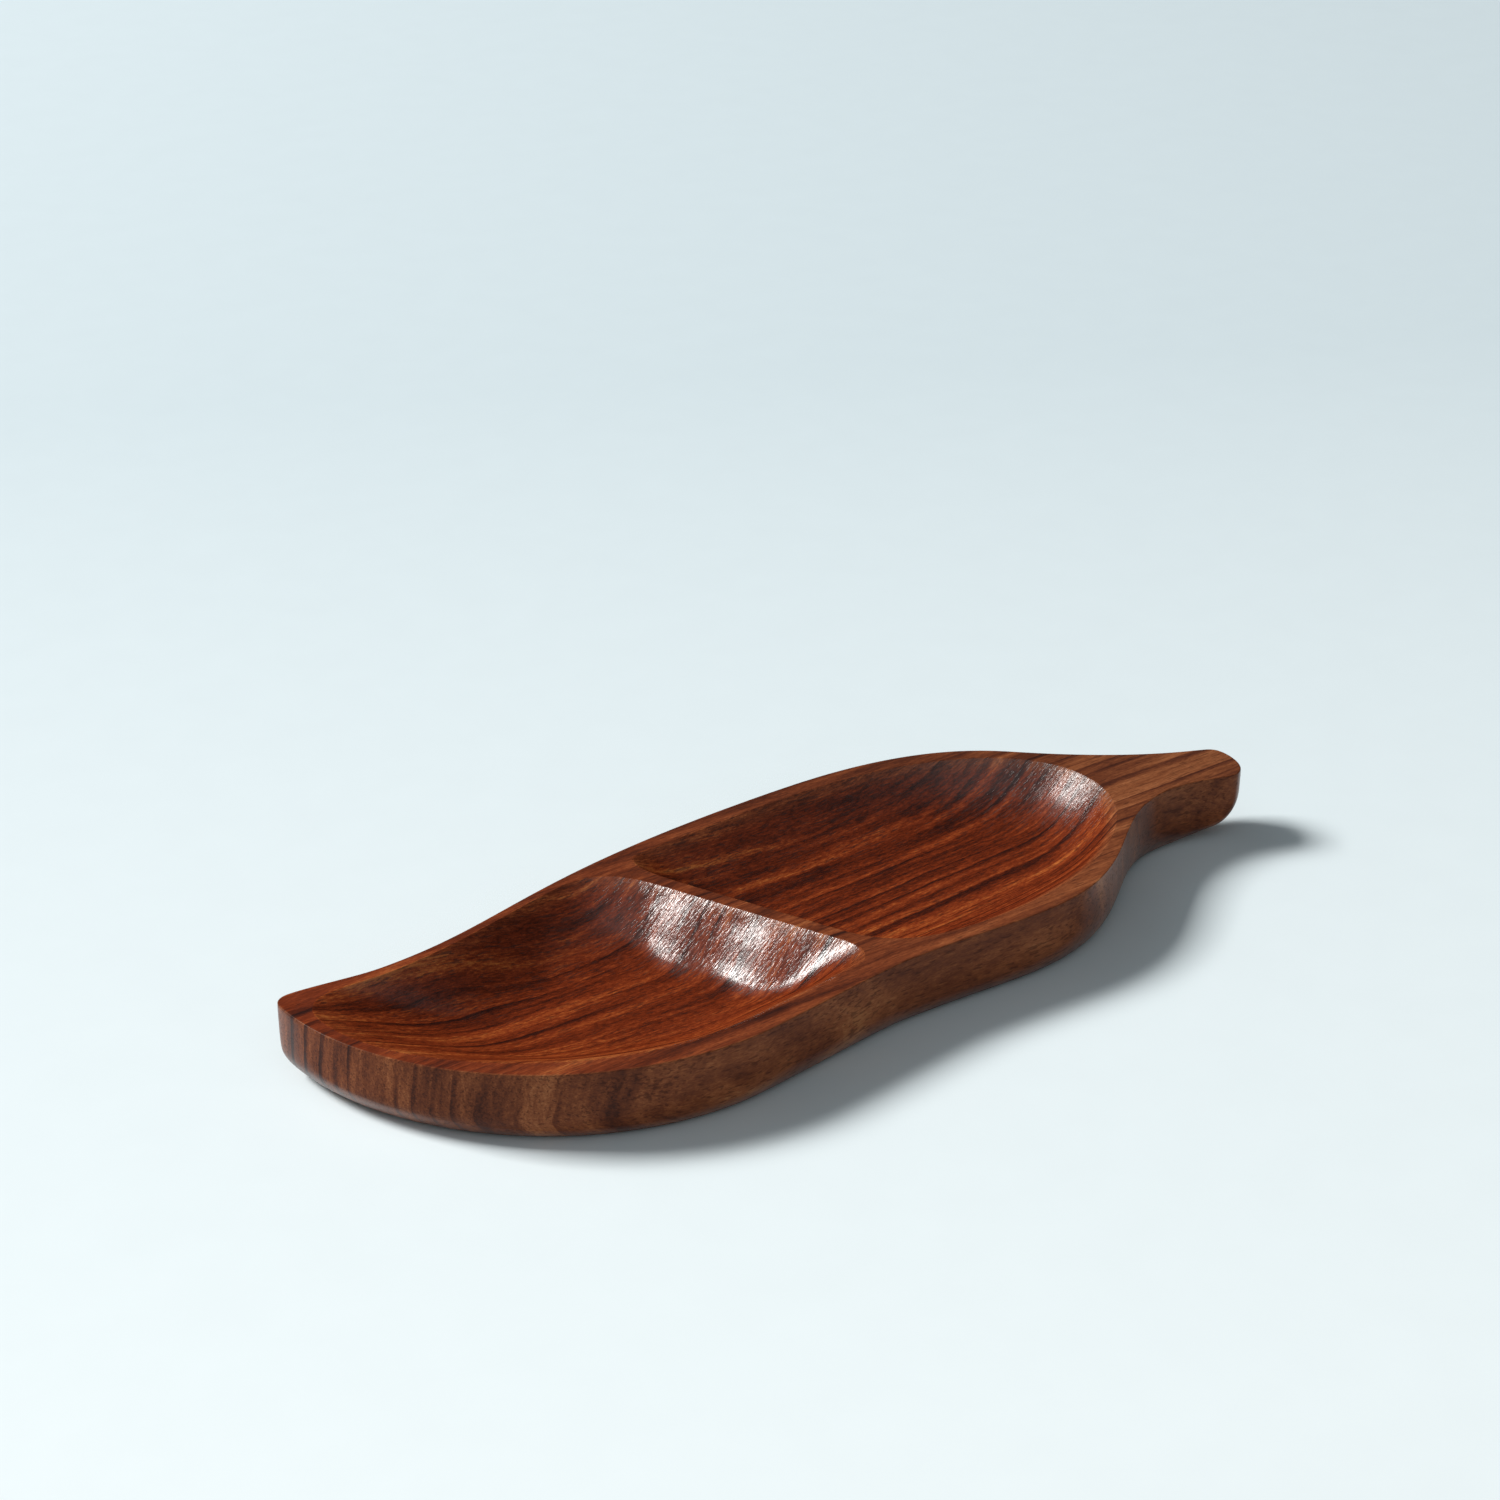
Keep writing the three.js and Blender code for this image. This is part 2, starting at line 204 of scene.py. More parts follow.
def floor_material():
    material, tree, surface = new_material("pale_table")
    at = add_node(tree, "ShaderNodeTexCoord").outputs["Object"]
    axes = add_node(tree, "ShaderNodeSeparateXYZ", Vector=at).outputs
    # Painted shade: the table's colour dims towards the back, standing in for light that falls
    # off across it.
    depth = calculate(tree, "MULTIPLY_ADD", axes["X"], FLOOR_SLANT, axes["Y"])
    painted_shade = remap(tree, depth, *FLOOR_SHADE_SPAN)
    colour = blend_colours(tree, painted_shade, FLOOR_IN_FRONT, FLOOR_BEHIND_SHADED)
    mottle = noise_field(tree, stretched(tree, at, [FLOOR_MOTTLE_SIZE] * 3), detail=3.0)
    plug(tree, surface.inputs["Base Color"],
         blend_colours(tree, mottle, colour, FLOOR_MOTTLE, "MULTIPLY"))
    surface.inputs["Roughness"].default_value = FLOOR_ROUGHNESS
    surface.inputs["Specular IOR Level"].default_value = FLOOR_SHINE
    return material


def make_floor():
    mesh = bpy.data.meshes.new("table_top")
    shape = bmesh.new()
    bmesh.ops.create_grid(shape, x_segments=1, y_segments=1, size=FLOOR_SIZE / 2)
    shape.to_mesh(mesh)
    shape.free()
    floor = bpy.data.objects.new("table_top", mesh)
    mesh.materials.append(floor_material())
    bpy.context.scene.collection.objects.link(floor)


make_floor()
print("floor:", FLOOR_SIZE, "m square")

# %% [markdown]
# One soft window lights the tray, from behind its tip and 42 degrees up: the white glare on
# the ridge's wall and the shadow to the right both point to it. A sun lamp would give hard
# shadows, so this is a large area lamp. The world is a dim room with two pale places. One
# lies around the window and softens the rim of the glare. The other is a bright wall behind
# the camera, which fills the shadows. The rest stays dark, because polished wood mirrors
# whatever is there.

# %% Light
KEY_BEARING = math.radians(133.0)
KEY_HEIGHT = math.radians(42.0)
KEY_DISTANCE = 8.0
KEY_SIZE = 2.4
KEY_POWER = 860.0
KEY_COLOUR = (1.0, 0.985, 0.955)
ROOM_COLOUR = (0.90, 0.97, 1.0, 1.0)
ROOM_IN_SHADE = 0.012
ROOM_BEHIND_CAMERA = 0.86
ROOM_BY_WINDOW = 1.0
WINDOW_NARROWNESS = 14.0
WALL_NARROWNESS = 5.0
TOWARDS_BRIGHT_WALL = Vector((-0.35, -0.62, 0.70)).normalized()
TOWARDS_WINDOW = Vector((math.cos(KEY_BEARING) * math.cos(KEY_HEIGHT),
                         math.sin(KEY_BEARING) * math.cos(KEY_HEIGHT),
                         math.sin(KEY_HEIGHT)))


def make_key_light():
    data = bpy.data.lights.new("window", "AREA")
    data.shape = "SQUARE"
    data.size = KEY_SIZE
    data.energy = KEY_POWER
    data.color = KEY_COLOUR
    lamp = bpy.data.objects.new("window", data)
    lamp.location = TOWARDS_WINDOW * KEY_DISTANCE
    lamp.rotation_euler = TOWARDS_WINDOW.to_track_quat("Z", "Y").to_euler()
    bpy.context.scene.collection.objects.link(lamp)
    return lamp


def make_world():
    world = bpy.data.worlds.new("studio")
    world.use_nodes = True
    tree = world.node_tree
    room = tree.nodes["Background"]
    room.inputs["Color"].default_value = ROOM_COLOUR
    direction = add_node(tree, "ShaderNodeTexCoord").outputs["Generated"]

    def glow(towards, narrowness):
        """Strongest in one direction, and weaker the further a ray points away from it."""
        facing = add_node(tree, "ShaderNodeVectorMath", {"operation": "DOT_PRODUCT"})
        plug(tree, facing.inputs[0], direction)
        plug(tree, facing.inputs[1], towards)
        ahead = calculate(tree, "MAXIMUM", facing.outputs["Value"], 0.0)
        return calculate(tree, "POWER", ahead, narrowness)

    by_window = glow(TOWARDS_WINDOW, WINDOW_NARROWNESS)
    by_wall = glow(TOWARDS_BRIGHT_WALL, WALL_NARROWNESS)
    fill = calculate(tree, "MULTIPLY_ADD", by_window, ROOM_BY_WINDOW, ROOM_IN_SHADE)
    fill = calculate(tree, "MULTIPLY_ADD", by_wall, ROOM_BEHIND_CAMERA, fill)
    seen = add_node(tree, "ShaderNodeLightPath").outputs["Is Camera Ray"]
    plug(tree, room.inputs["Strength"], calculate(tree, "MAXIMUM", fill, seen))
    bpy.context.scene.world = world


window = make_key_light()
make_world()
bpy.context.scene.view_settings.view_transform = "Standard"
print("window at", [round(value, 2) for value in window.location], "m")

# %% [markdown]
# The tray starts as a copy of the CAD solid. It comes as loose triangles, so its corners are
# merged first. Then each face is named by where it lies: on the flat rim, in a hollow, on
# the outer wall or underneath. Faces could be picked by hand in the editor; here the rim is
# what lies level with the board's top, and a hollow is what a flood from its floor reaches
# without crossing the rim.

# %% The solid, merged and sorted
HOLLOW, RIM, WALL, UNDERSIDE = range(4)
MERGE_WITHIN = 0.005 * MM
LEVEL_WITHIN = 0.01 * MM
FACING_DOWN = -0.75


def is_rim(face):
    return all(abs(vert.co.z - BOARD_TOP) < LEVEL_WITHIN for vert in face.verts)


def flood(start, stop_at):
    """All faces that can be reached from start over shared edges, short of stop_at."""
    reached = {start}
    front = [start]
    while front:
        face = front.pop()
        for edge in face.edges:
            for neighbour in edge.link_faces:
                if neighbour not in reached and neighbour not in stop_at:
                    reached.add(neighbour)
                    front.append(neighbour)
    return reached


def hollow_floors():
    """The middle of each hollow's floor, from the openings that the record states."""
    for opening in frame["record"]["physics"]["openings"]:
        low, high = (Vector(corner) for corner in opening["box_m"])
        middle = (low + high) / 2
        yield Vector((middle.x, middle.y, low.z))


def sorted_solid():
    shape = bmesh.new()
    shape.from_mesh(frame["nodes"]["leaf_tray"].data)
    bmesh.ops.remove_doubles(shape, verts=shape.verts[:], dist=MERGE_WITHIN)
    shape.normal_update()
    rim = {face for face in shape.faces if is_rim(face)}
    hollows = set()
    for floor_point in hollow_floors():
        nearest = min(shape.faces,
                      key=lambda face: (face.calc_center_median() - floor_point).length)
        hollows |= flood(nearest, rim)
    for face in shape.faces:
        if face in rim:
            face.material_index = RIM
        elif face in hollows:
            face.material_index = HOLLOW
        elif face.normal.z < FACING_DOWN:
            face.material_index = UNDERSIDE
        else:
            face.material_index = WALL
    return shape


tray_shape = sorted_solid()
counts = [sum(face.material_index == kind for face in tray_shape.faces) for kind in range(4)]
print("triangles in hollows, rim, wall, underside:", counts)

# %% [markdown]
# A subdivision surface rounds everything it isn't told to keep. Extra edges close to a
# corner hold it: the flat rim is inset by less than a millimetre, which lays one such loop
# beside its outer edge and one beside each hollow. Pairs of triangles become quads, because
# quads subdivide into an even skin.

# %% Support loops and quads
RIM_LOOP = 0.7 * MM
QUAD_FLATNESS = math.radians(40.0)
QUAD_SQUARENESS = math.radians(70.0)


def hold_rim(shape):
    rim = [face for face in shape.faces if face.material_index == RIM]
    bmesh.ops.inset_region(shape, faces=rim, thickness=RIM_LOOP,
                           use_boundary=True, use_even_offset=True)
    for face in shape.faces:
        if is_rim(face):
            face.material_index = RIM
    bmesh.ops.join_triangles(shape, faces=shape.faces[:], cmp_materials=True,
                             angle_face_threshold=QUAD_FLATNESS,
                             angle_shape_threshold=QUAD_SQUARENESS)


hold_rim(tray_shape)
print("quads:", sum(len(face.verts) == 4 for face in tray_shape.faces),
      "of", len(tray_shape.faces), "faces")

# %% [markdown]
# Now the skin is subdivided. The modifier could stay live, but the next two steps bend and
# carve the fine mesh point by point, so its result is kept as the mesh itself.

# %% The fine skin
FINE_LEVELS = 2


def fine_skin(shape):
    coarse = bpy.data.meshes.new("leaf_tray_coarse")
    shape.to_mesh(coarse)
    shape.free()
    piece = bpy.data.objects.new("carved_leaf_tray", coarse)
    bpy.context.scene.collection.objects.link(piece)
    finer = piece.modifiers.new("finer", "SUBSURF")
    finer.levels = finer.render_levels = FINE_LEVELS
    depsgraph = bpy.context.evaluated_depsgraph_get()
    piece_fine = piece.evaluated_get(depsgraph)
    piece.data = bpy.data.meshes.new_from_object(piece_fine, depsgraph=depsgraph)
    piece.data.name = "carved_leaf_tray"
    piece.modifiers.clear()
    bpy.data.meshes.remove(coarse)
    piece.data.polygons.foreach_set("use_smooth", [True] * len(piece.data.polygons))
    return piece


tray = fine_skin(tray_shape)
print("fine skin:", len(tray.data.polygons), "faces")

# %% [markdown]
# Under the tip the foot is rounded off further than elsewhere, so the tray seems to lift off
# the table there and shows a dark gap. The edge could be bevelled again, but the skin is fine
# enough to bend: points low on the wall slide inwards, the lowest ones furthest. None goes
# more than a share of the way to the leaf's middle line, so that no point crosses it.

# %% Rounder foot under the tip
FOOT_HEIGHT = 9.0 * MM
FOOT_SLIDE = 2.6 * MM
FOOT_CURVE = 1.4
FOOT_SHARE_OF_WAY = 0.3
FOOT_SLIDE_STARTS = -70.0 * MM
LEAF_AXIS = (Vector((-110.0, 10.0, 0.0)) * MM, Vector((100.0, 0.0, 0.0)) * MM)


def eased(value, low, high):
    """From 0 at low to 1 at high, with soft ends."""
    share = min(1.0, max(0.0, (value - low) / (high - low)))
    return share * share * (3 - 2 * share)


def points_of(mesh, *kinds):
    """The points of all faces that are of one of these kinds."""
    return {index for face in mesh.polygons if face.material_index in kinds
            for index in face.vertices}


def round_foot(piece):
    mesh = piece.data
    moved = 0
    for index in points_of(mesh, WALL, UNDERSIDE):
        at = mesh.vertices[index].co
        near_tip = eased(at.x, FOOT_SLIDE_STARTS, board_low.x)
        if at.z >= FOOT_HEIGHT or near_tip == 0.0:
            continue
        on_axis, share = geometry.intersect_point_line(Vector((at.x, at.y, 0.0)), *LEAF_AXIS)
        if share < 0.0:
            on_axis = LEAF_AXIS[0]
        inwards = Vector((on_axis.x - at.x, on_axis.y - at.y, 0.0))
        slide = FOOT_SLIDE * near_tip * (1.0 - at.z / FOOT_HEIGHT) ** FOOT_CURVE
        at += inwards.normalized() * min(slide, FOOT_SHARE_OF_WAY * inwards.length)
        moved += 1
    mesh.update()
    return moved


print("points moved under the tip:", round_foot(tray))

# %% [markdown]
# The hollows were cut with a gouge and sanded by hand, so light runs over them in soft
# waves. Bump in the material would only fake this at the edges of the glare, so the waves
# are real: each point of a hollow moves along its normal by a little noise, less and less
# towards the crisp rim. The wall of the ridge faces the window, and there the strokes of the
# gouge show as broad flutes side by side, which break the glare into patches.

# %% Gouge marks in the hollows
WAVE_LENGTHS = Vector((26.0, 17.0, 17.0)) * MM
WAVE_HEIGHT = 0.16 * MM
CALM_DEPTH = 5.0 * MM
RIDGE_LEAN = math.radians(65.5)
ALONG_RIDGE = Vector((math.cos(RIDGE_LEAN), -math.sin(RIDGE_LEAN), 0.0))
ACROSS_RIDGE = Vector((math.sin(RIDGE_LEAN), math.cos(RIDGE_LEAN), 0.0))
RIDGE_EDGE = -21.3 * MM
FLUTE_WIDTH = 29.0 * MM
FLUTE_START = -35.0 * MM
FLUTE_HEIGHT = 0.50 * MM
FLUTE_TOP = (0.3 * MM, 4.0 * MM)
FLUTE_BOTTOM = (21.0 * MM, 13.0 * MM)
FIRST_FLUTE = (-60.0 * MM, -46.0 * MM)
LAST_FLUTE = (30.0 * MM, 14.0 * MM)
BELLY_HEIGHT = 0.65 * MM
BELLY_REACH = 16.0 * MM


def wave(at):
    """Soft hand-sanded waves, longer along the grain than across it."""
    place = Vector(at[axis] / WAVE_LENGTHS[axis] for axis in range(3))
    return WAVE_HEIGHT * noise.noise(place) * eased(BOARD_TOP - at.z, 0.0, CALM_DEPTH)


def flute(at):
    """Gouge strokes down the wall of the ridge, on the side of the front hollow."""
    below_edge = RIDGE_EDGE - at.dot(ACROSS_RIDGE)
    along = at.dot(ALONG_RIDGE)
    on_wall = eased(below_edge, *FLUTE_TOP) * eased(below_edge, *FLUTE_BOTTOM)
    in_reach = eased(along, *FIRST_FLUTE) * eased(along, *LAST_FLUTE)
    stroke = math.sin(2 * math.pi * (along - FLUTE_START) / FLUTE_WIDTH)
    swell = math.sin(math.pi * min(1.0, max(0.0, below_edge / BELLY_REACH)))
    return (FLUTE_HEIGHT * stroke * on_wall + BELLY_HEIGHT * swell) * in_reach


def carve_hollows(piece):
    mesh = piece.data
    in_hollow = points_of(mesh, HOLLOW)
    normals = [vert.normal.copy() for vert in mesh.vertices]
    for index in in_hollow:
        vert = mesh.vertices[index]
        vert.co += normals[index] * (wave(vert.co) + flute(vert.co))
    mesh.update()
    return len(in_hollow)


print("points in the hollows:", carve_hollows(tray))

# %% [markdown]
# Wood is a solid material: its rings are sheets inside the board, and what the eye sees is
# where the surface cuts them. So the grain is worked out in the board's own coordinates.
# Here the rings stand nearly upright along the tray, which gives long lines in the hollows
# and upright stripes on the tip's end. One group puts out how light the wood is at a point:
# broad streaks across the board, dark lines where a year's growth ends, finer bands and
# threads, and a smoky darkening towards both edges. Sizes are in millimetres, in the order
# along the tray, across the rings, up.

# %% Growth rings
RING_LOW = -62.0
RING_HIGH = 62.0
STREAKS = (
    (-62, 0.72), (-54, 0.79), (-50.5, 0.50), (-46, 0.62), (-39, 0.70), (-33, 0.60),
    (-30.5, 0.46), (-28, 0.62), (-23, 0.66), (-20, 0.61), (-18.5, 0.49), (-16.5, 0.63),
    (-11, 0.70), (-5, 0.62), (1, 0.57), (7.5, 0.58), (9, 0.50), (10.5, 0.59),
    (13, 0.60), (16, 0.50), (20, 0.56), (23, 0.64), (26, 0.50), (30, 0.40),
    (34, 0.70), (38, 0.51), (41, 0.64), (43, 0.66), (45, 0.43), (48, 0.50),
    (50, 0.42), (62, 0.48),
)
SLOW_BEND_SIZES = (190.0, 60.0, 150.0)
SLOW_BEND = 8.0
QUICK_BEND_SIZES = (34.0, 8.0, 30.0)
QUICK_BEND = 2.4
YEAR_WIDTH = 6.2
YEAR_UNEVEN_SIZES = (400.0, 19.0, 200.0)
YEAR_UNEVENNESS = 2.6
LATE_WOOD_STARTS = 0.62
LATE_WOOD_DARKEST = 0.94
LINE_PATCH_SIZES = (120.0, 8.0, 60.0)
LINE_PATCHES = (0.34, 0.66)
LINE_DARKNESS = -0.40
LINES_START_NEAR = (-46.0, -40.0)
LINES_END_FAR = (48.0, 40.0)
BAND_SIZES = (90.0, 4.5, 40.0)
BAND_STRENGTH = 1.15
THREAD_SIZES = (30.0, 1.1, 12.0)
THREAD_STRENGTH = 0.30
SMOKE_SIZES = (30.0, 6.0, 14.0)
SMOKE_PATCHES = (0.50, 0.72)
SMOKE_DARKNESS = -0.24
SMOKE_FAR_SIDE = (4.0, 30.0)
SMOKE_NEAR_EDGE = (-46.0, -52.0)
SMOKE_MOST = 0.7
HALF = 0.5


def socket_in(group, name, value):
    made = group.interface.new_socket(name, in_out="INPUT", socket_type="NodeSocketFloat")
    made.default_value = value


def socket_out(group, name):
    group.interface.new_socket(name, in_out="OUTPUT", socket_type="NodeSocketFloat")


def board_millimetres(tree):
    """Where a point lies in the board, in millimetres."""
    at = add_node(tree, "ShaderNodeTexCoord").outputs["Object"]
    return stretched(tree, at, (MM, MM, MM))


def growth_rings():
    group = bpy.data.node_groups.new("growth_rings", "ShaderNodeTree")
    socket_in(group, "Ring Tilt", 0.1)
    socket_in(group, "Line Strength", 1.0)
    socket_out(group, "Tone")
    ends = add_node(group, "NodeGroupInput").outputs
    result = add_node(group, "NodeGroupOutput")
    at = board_millimetres(group)
    axes = add_node(group, "ShaderNodeSeparateXYZ", Vector=at).outputs
    depth = calculate(group, "SUBTRACT", BOARD_TOP / MM, axes["Z"])
    leaning = calculate(group, "MULTIPLY_ADD", depth, ends["Ring Tilt"], axes["Y"])
    slow = noise_field(group, stretched(group, at, SLOW_BEND_SIZES), detail=1.0)
    quick = noise_field(group, stretched(group, at, QUICK_BEND_SIZES),
                        detail=4.0, roughness=0.65)
    ring = swing(group, slow, HALF, SLOW_BEND, leaning)
    ring = swing(group, quick, HALF, QUICK_BEND, ring)
    streaks = [((place - RING_LOW) / (RING_HIGH - RING_LOW), (tone, tone, tone))
               for place, tone in STREAKS]
    broad = ramp(group, remap(group, ring, RING_LOW, RING_HIGH), streaks, "EASE")

    def along_rings(sizes, detail):
        """Noise that follows the rings as they bend."""
        places = zip((axes["X"], ring, axes["Z"]), sizes)
        x, y, z = (calculate(group, "DIVIDE", place, size) for place, size in places)
        place = add_node(group, "ShaderNodeCombineXYZ", X=x, Y=y, Z=z)
        return noise_field(group, place.outputs["Vector"], detail=detail, roughness=0.6)

    even_year = calculate(group, "DIVIDE", ring, YEAR_WIDTH)
    year = calculate(group, "MULTIPLY_ADD", along_rings(YEAR_UNEVEN_SIZES, 0.0),
                     YEAR_UNEVENNESS, even_year)
    season = calculate(group, "FRACT", year)
    rising = remap(group, season, LATE_WOOD_STARTS, LATE_WOOD_DARKEST, smooth=True)
    falling = remap(group, season, LATE_WOOD_DARKEST, 1.0, 1.0, 0.0, smooth=True)
    lines = calculate(group, "MULTIPLY", rising, falling)
    strengths = (
        remap(group, along_rings(LINE_PATCH_SIZES, 1.0), *LINE_PATCHES, 0.0, LINE_DARKNESS),
        remap(group, ring, *LINES_START_NEAR),
        remap(group, ring, *LINES_END_FAR),
        ends["Line Strength"],
    )
    for strength in strengths:
        lines = calculate(group, "MULTIPLY", lines, strength)
    varied = swing(group, along_rings(BAND_SIZES, 3.0), HALF, BAND_STRENGTH, lines)
    varied = swing(group, along_rings(THREAD_SIZES, 3.0), HALF, THREAD_STRENGTH, varied)
    smoke = remap(group, along_rings(SMOKE_SIZES, 2.0), *SMOKE_PATCHES, 0.0, SMOKE_DARKNESS)
    far_side = remap(group, ring, *SMOKE_FAR_SIDE, 0.0, SMOKE_MOST, smooth=True)
    near_edge = remap(group, ring, *SMOKE_NEAR_EDGE, 0.0, SMOKE_MOST, smooth=True)
    smoky = calculate(group, "ADD", far_side, near_edge)
    varied = calculate(group, "MULTIPLY_ADD", smoke, smoky, varied)
    plug(group, result.inputs["Tone"], calculate(group, "ADD", varied, broad))
    return group


rings_group = growth_rings()
print("growth rings:", len(STREAKS), "streaks across the board")

# %% [markdown]
# Under the rings lies the finer structure: pores, which a cut along the grain opens as short
# dark dashes, fibres, which leave a faint silky ridging, and flecks, the specks between them.
# All are stretched along the tray, and feed the bump as well as the colour. How tall they
# look depends on how a surface cuts them, so each finish sets their height, and the third
# size of each is a share of it.

# %% Pores and fibres
PORE_PATCH_SIZES = (26.0, 6.0, 6.0)
PORE_PATCHES = (0.3, 0.75)
PORE_SIZES = (4.2, 0.50, 0.5)
PORE_STARTS = (0.62, 0.52)
PORE_SOFTNESS = 0.08
FIBRE_SIZES = (7.0, 0.85, 1.0)
FLECK_SIZES = (1.8, 0.42, 0.28)


def pores_and_fibres():
    group = bpy.data.node_groups.new("pores_and_fibres", "ShaderNodeTree")
    socket_in(group, "Height", 0.85)
    height = add_node(group, "NodeGroupInput").outputs["Height"]
    at = board_millimetres(group)

    def grain(sizes, detail, roughness=0.5):
        length, width, share = sizes
        size = add_node(group, "ShaderNodeCombineXYZ", X=length, Y=width,
                        Z=calculate(group, "MULTIPLY", height, share))
        return noise_field(group, stretched(group, at, size.outputs["Vector"]),
                           detail, roughness)

    patches = noise_field(group, stretched(group, at, PORE_PATCH_SIZES), detail=1.0)
    edge = remap(group, patches, *PORE_PATCHES, *PORE_STARTS)
    full = calculate(group, "ADD", edge, PORE_SOFTNESS)
    made = {
        "Pores": remap(group, grain(PORE_SIZES, 1.0), edge, full, smooth=True),
        "Fibres": grain(FIBRE_SIZES, 3.0, 0.6),
        "Flecks": grain(FLECK_SIZES, 2.0, 0.6),
    }
    for name in made:
        socket_out(group, name)
    result = add_node(group, "NodeGroupOutput")
    for name, value in made.items():
        plug(group, result.inputs[name], value)
    return group


pores_group = pores_and_fibres()
print("pores, fibres and flecks ready")

# %% [markdown]
# The wood's colour follows its tone, from purple-brown in the late wood to orange-brown in
# the early wood. The four surfaces are one wood with different finishes: the hollows are
# oiled and polished, the rim is sanded and dries out towards the handle, the wall is dry but
# gleams at a slant, and the underside is bare. So one function makes all four, each with its
# own values. The rim's dryness runs a few millimetres down into the hollows, because a hand
# that sands the rim doesn't stop at its edge. Over those millimetres the hollow's tone is also
# lifted, which is painted light: it softens the shade where the hollow's wall drops from the
# rim.

# %% The four finishes
WOOD_TONES = (
    (0.00, (0.020, 0.006, 0.005)),
    (0.22, (0.052, 0.0095, 0.0045)),
    (0.42, (0.108, 0.0165, 0.0048)),
    (0.62, (0.172, 0.0268, 0.0075)),
    (0.82, (0.275, 0.055, 0.0130)),
    (1.00, (0.400, 0.116, 0.027)),
)
DRY_TONES = (
    (0.00, (0.040, 0.013, 0.009)),
    (0.22, (0.078, 0.024, 0.013)),
    (0.42, (0.125, 0.040, 0.018)),
    (0.62, (0.182, 0.064, 0.026)),
    (0.82, (0.250, 0.097, 0.041)),
    (1.00, (0.325, 0.140, 0.065)),
)
MIDDLE_TONE = 0.6
FIBRE_CONTRAST = 0.50
FIBRE_RANGE = (0.3, 0.7)
EDGE_DEPTH = 4.5
# Painted light: how much the hollow's tone is lifted just below the rim.
EDGE_PAINTED_LIGHT = 0.10
RIM_DRYNESS = (0.05, 0.85)
PORE_COLOUR = (0.030, 0.007, 0.004, 1.0)
PORE_ROUGHNESS = 0.25
PORE_RELIEF = -0.3
FLECK_RELIEF = 0.35


def place_group(tree, group):
    made = add_node(tree, "ShaderNodeGroup")
    made.node_tree = group
    return made


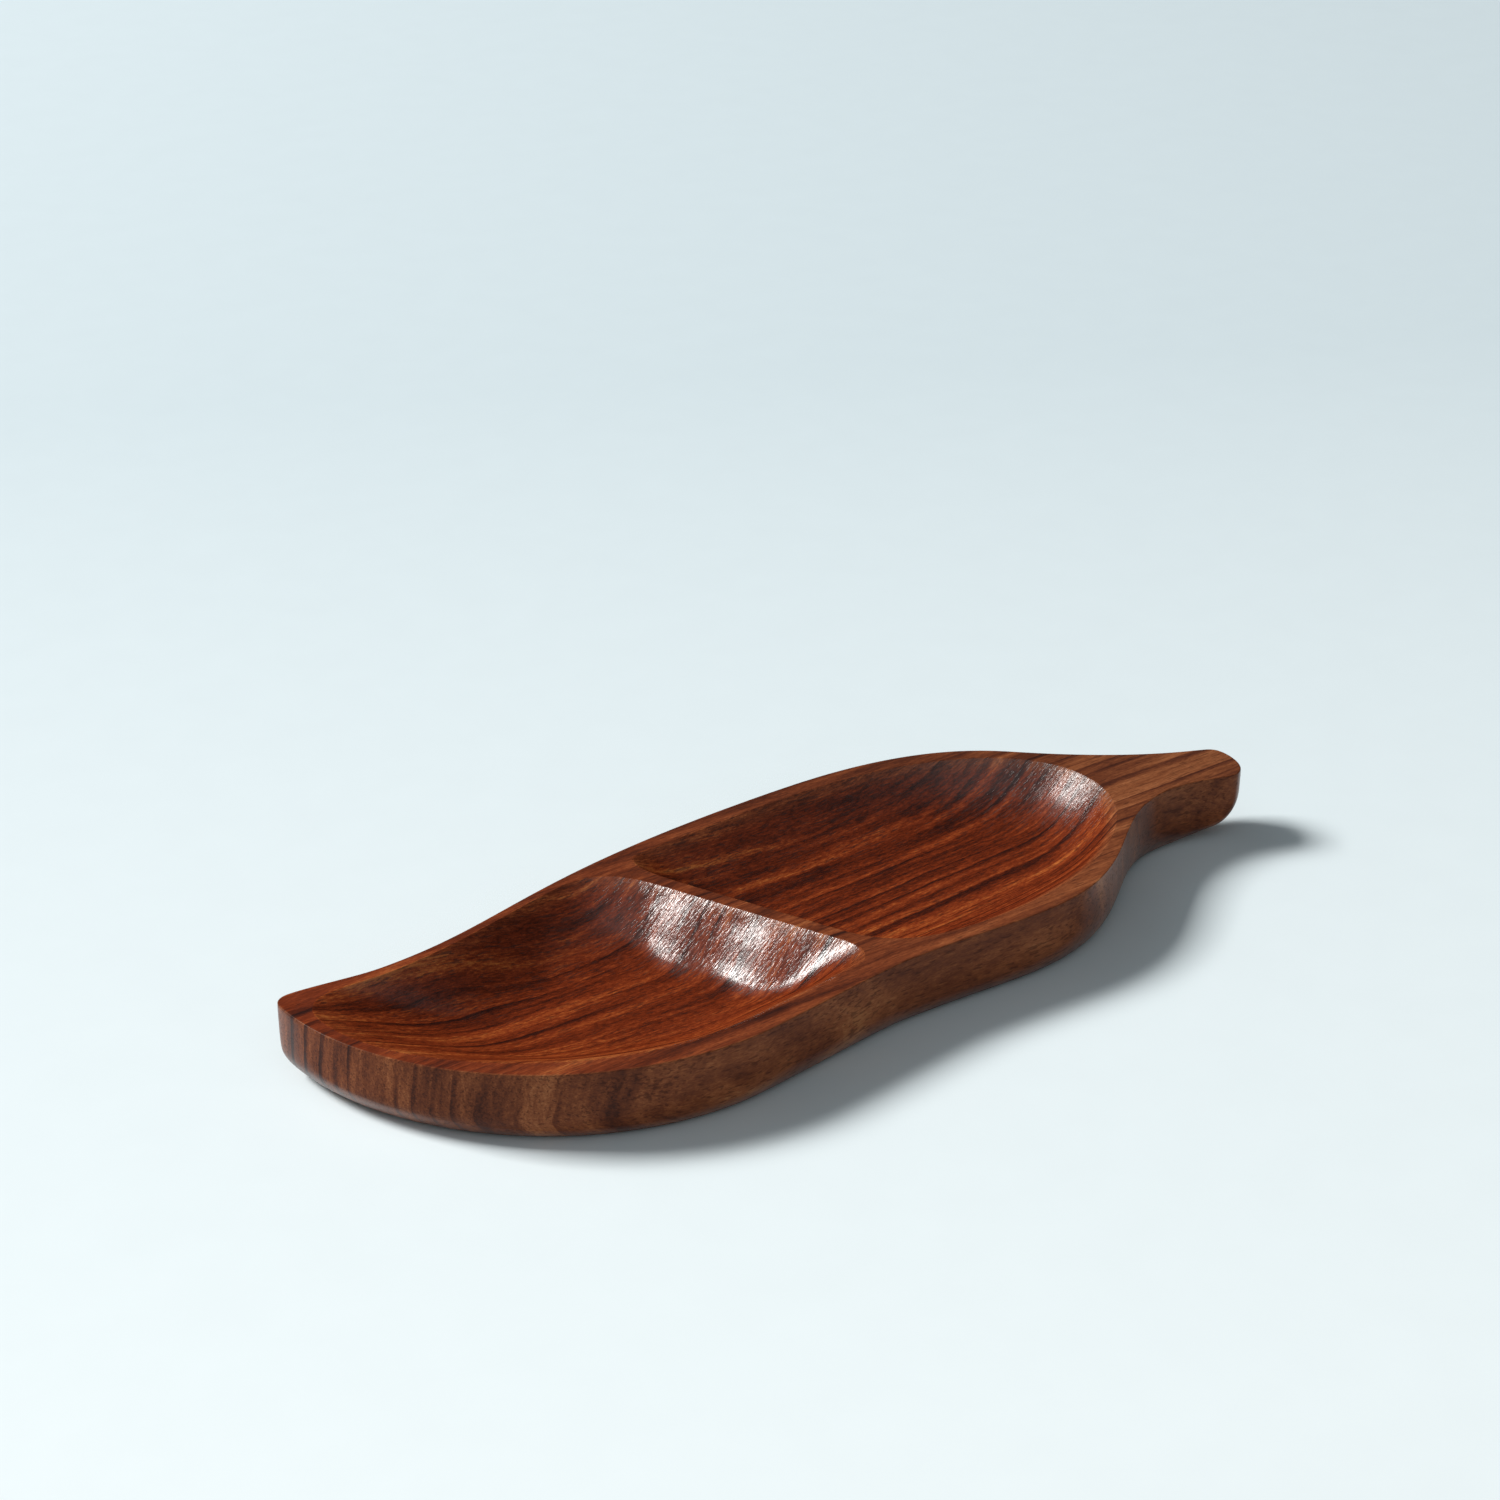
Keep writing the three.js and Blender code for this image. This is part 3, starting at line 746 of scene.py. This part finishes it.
def wood_finish(name, tilt, lines, contrast, lighter, dryness, fibre_height, flecks, pores,
                shine, gloss, bump, slants=None, edge_dryness=None):
    """One finish. The pairs for lines, lighter and both drynesses go from the tip to the
    handle's end, shine follows the slants of view, and gloss goes from fibre to fibre."""
    material, tree, surface = new_material(name)
    axes = add_node(tree, "ShaderNodeSeparateXYZ", Vector=board_millimetres(tree)).outputs

    def from_tip(pair):
        return remap(tree, axes["X"], board_low.x / MM, board_high.x / MM, *pair)

    rings = place_group(tree, rings_group)
    rings.inputs["Ring Tilt"].default_value = tilt
    plug(tree, rings.inputs["Line Strength"], from_tip(lines))
    structure = place_group(tree, pores_group)
    structure.inputs["Height"].default_value = fibre_height
    fine = structure.outputs
    tone = swing(tree, fine["Fibres"], HALF, FIBRE_CONTRAST, rings.outputs["Tone"])
    tone = swing(tree, fine["Flecks"], HALF, flecks, tone)
    middle = from_tip([MIDDLE_TONE + change for change in lighter])
    tone = swing(tree, tone, MIDDLE_TONE, contrast, middle)
    dry = from_tip(dryness)
    if edge_dryness:
        top = BOARD_TOP / MM
        edge = remap(tree, axes["Z"], top - EDGE_DEPTH, top, smooth=True)
        # Painted light: near the rim the hollow's tone is lifted, to soften the shade of its
        # steep wall.
        tone = calculate(tree, "MULTIPLY_ADD", edge, EDGE_PAINTED_LIGHT, tone)
        edge_dry = calculate(tree, "MULTIPLY", edge, from_tip(edge_dryness))
        dry = calculate(tree, "MAXIMUM", dry, edge_dry)
    colour = blend_colours(tree, dry, ramp(tree, tone, WOOD_TONES), ramp(tree, tone, DRY_TONES))
    pores = calculate(tree, "MULTIPLY", fine["Pores"], pores)
    plug(tree, surface.inputs["Base Color"], blend_colours(tree, pores, colour, PORE_COLOUR))
    surface.inputs["Specular IOR Level"].default_value = shine[0]
    if slants:
        slant = add_node(tree, "ShaderNodeLayerWeight", Blend=0.5).outputs["Facing"]
        plug(tree, surface.inputs["Specular IOR Level"], remap(tree, slant, *slants, *shine))
    rough = remap(tree, fine["Fibres"], *FIBRE_RANGE, *gloss)
    rough = calculate(tree, "MULTIPLY_ADD", pores, PORE_ROUGHNESS, rough)
    plug(tree, surface.inputs["Roughness"], rough)
    height = calculate(tree, "MULTIPLY_ADD", fine["Flecks"], FLECK_RELIEF, fine["Fibres"])
    height = calculate(tree, "MULTIPLY_ADD", pores, PORE_RELIEF, height)
    relief = add_node(tree, "ShaderNodeBump", Height=height, Strength=1.0, Distance=bump * MM)
    plug(tree, surface.inputs["Normal"], relief.outputs["Normal"])
    return material


finishes = [
    # Painted light in the hollow's lighter pair: its tone is lifted towards the tip, to
    # brighten the end wall there, which faces away from the window.
    wood_finish("oiled_hollow", tilt=0.32, lines=(0.95, 1.2), contrast=1.15,
                lighter=(0.07, -0.15), dryness=(0.0, 0.04), fibre_height=5.0,
                flecks=0.85, pores=0.6, shine=(0.60, 0.0), slants=(0.30, 0.75),
                gloss=(0.16, 0.26), bump=0.16, edge_dryness=RIM_DRYNESS),
    wood_finish("sanded_rim", tilt=0.0, lines=(1.1, 1.1), contrast=1.1,
                lighter=(-0.03, -0.02), dryness=RIM_DRYNESS, fibre_height=0.85,
                flecks=0.5, pores=0.45, shine=(0.25, 0.0), slants=(0.30, 0.75),
                gloss=(0.42, 0.52), bump=0.03),
    wood_finish("outer_wall", tilt=-0.12, lines=(1.4, 0.3), contrast=1.2,
                lighter=(-0.04, 0.06), dryness=(0.65, 0.68), fibre_height=1.6,
                flecks=0.55, pores=0.5, shine=(0.08, 1.0), slants=(0.50, 0.80),
                gloss=(0.28, 0.38), bump=0.02),
    wood_finish("bare_underside", tilt=-0.12, lines=(1.0, 0.8), contrast=0.8,
                lighter=(0.0, 0.0), dryness=(0.9, 0.9), fibre_height=0.85,
                flecks=0.4, pores=0.3, shine=(0.1, 0.1), gloss=(0.60, 0.70), bump=0.03),
]
for finish in finishes:
    tray.data.materials.append(finish)
print("finishes:", [finish.name for finish in finishes])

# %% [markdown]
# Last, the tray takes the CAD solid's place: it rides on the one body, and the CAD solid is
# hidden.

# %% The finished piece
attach(tray, "root")
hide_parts("leaf_tray")
bpy.context.view_layer.update()
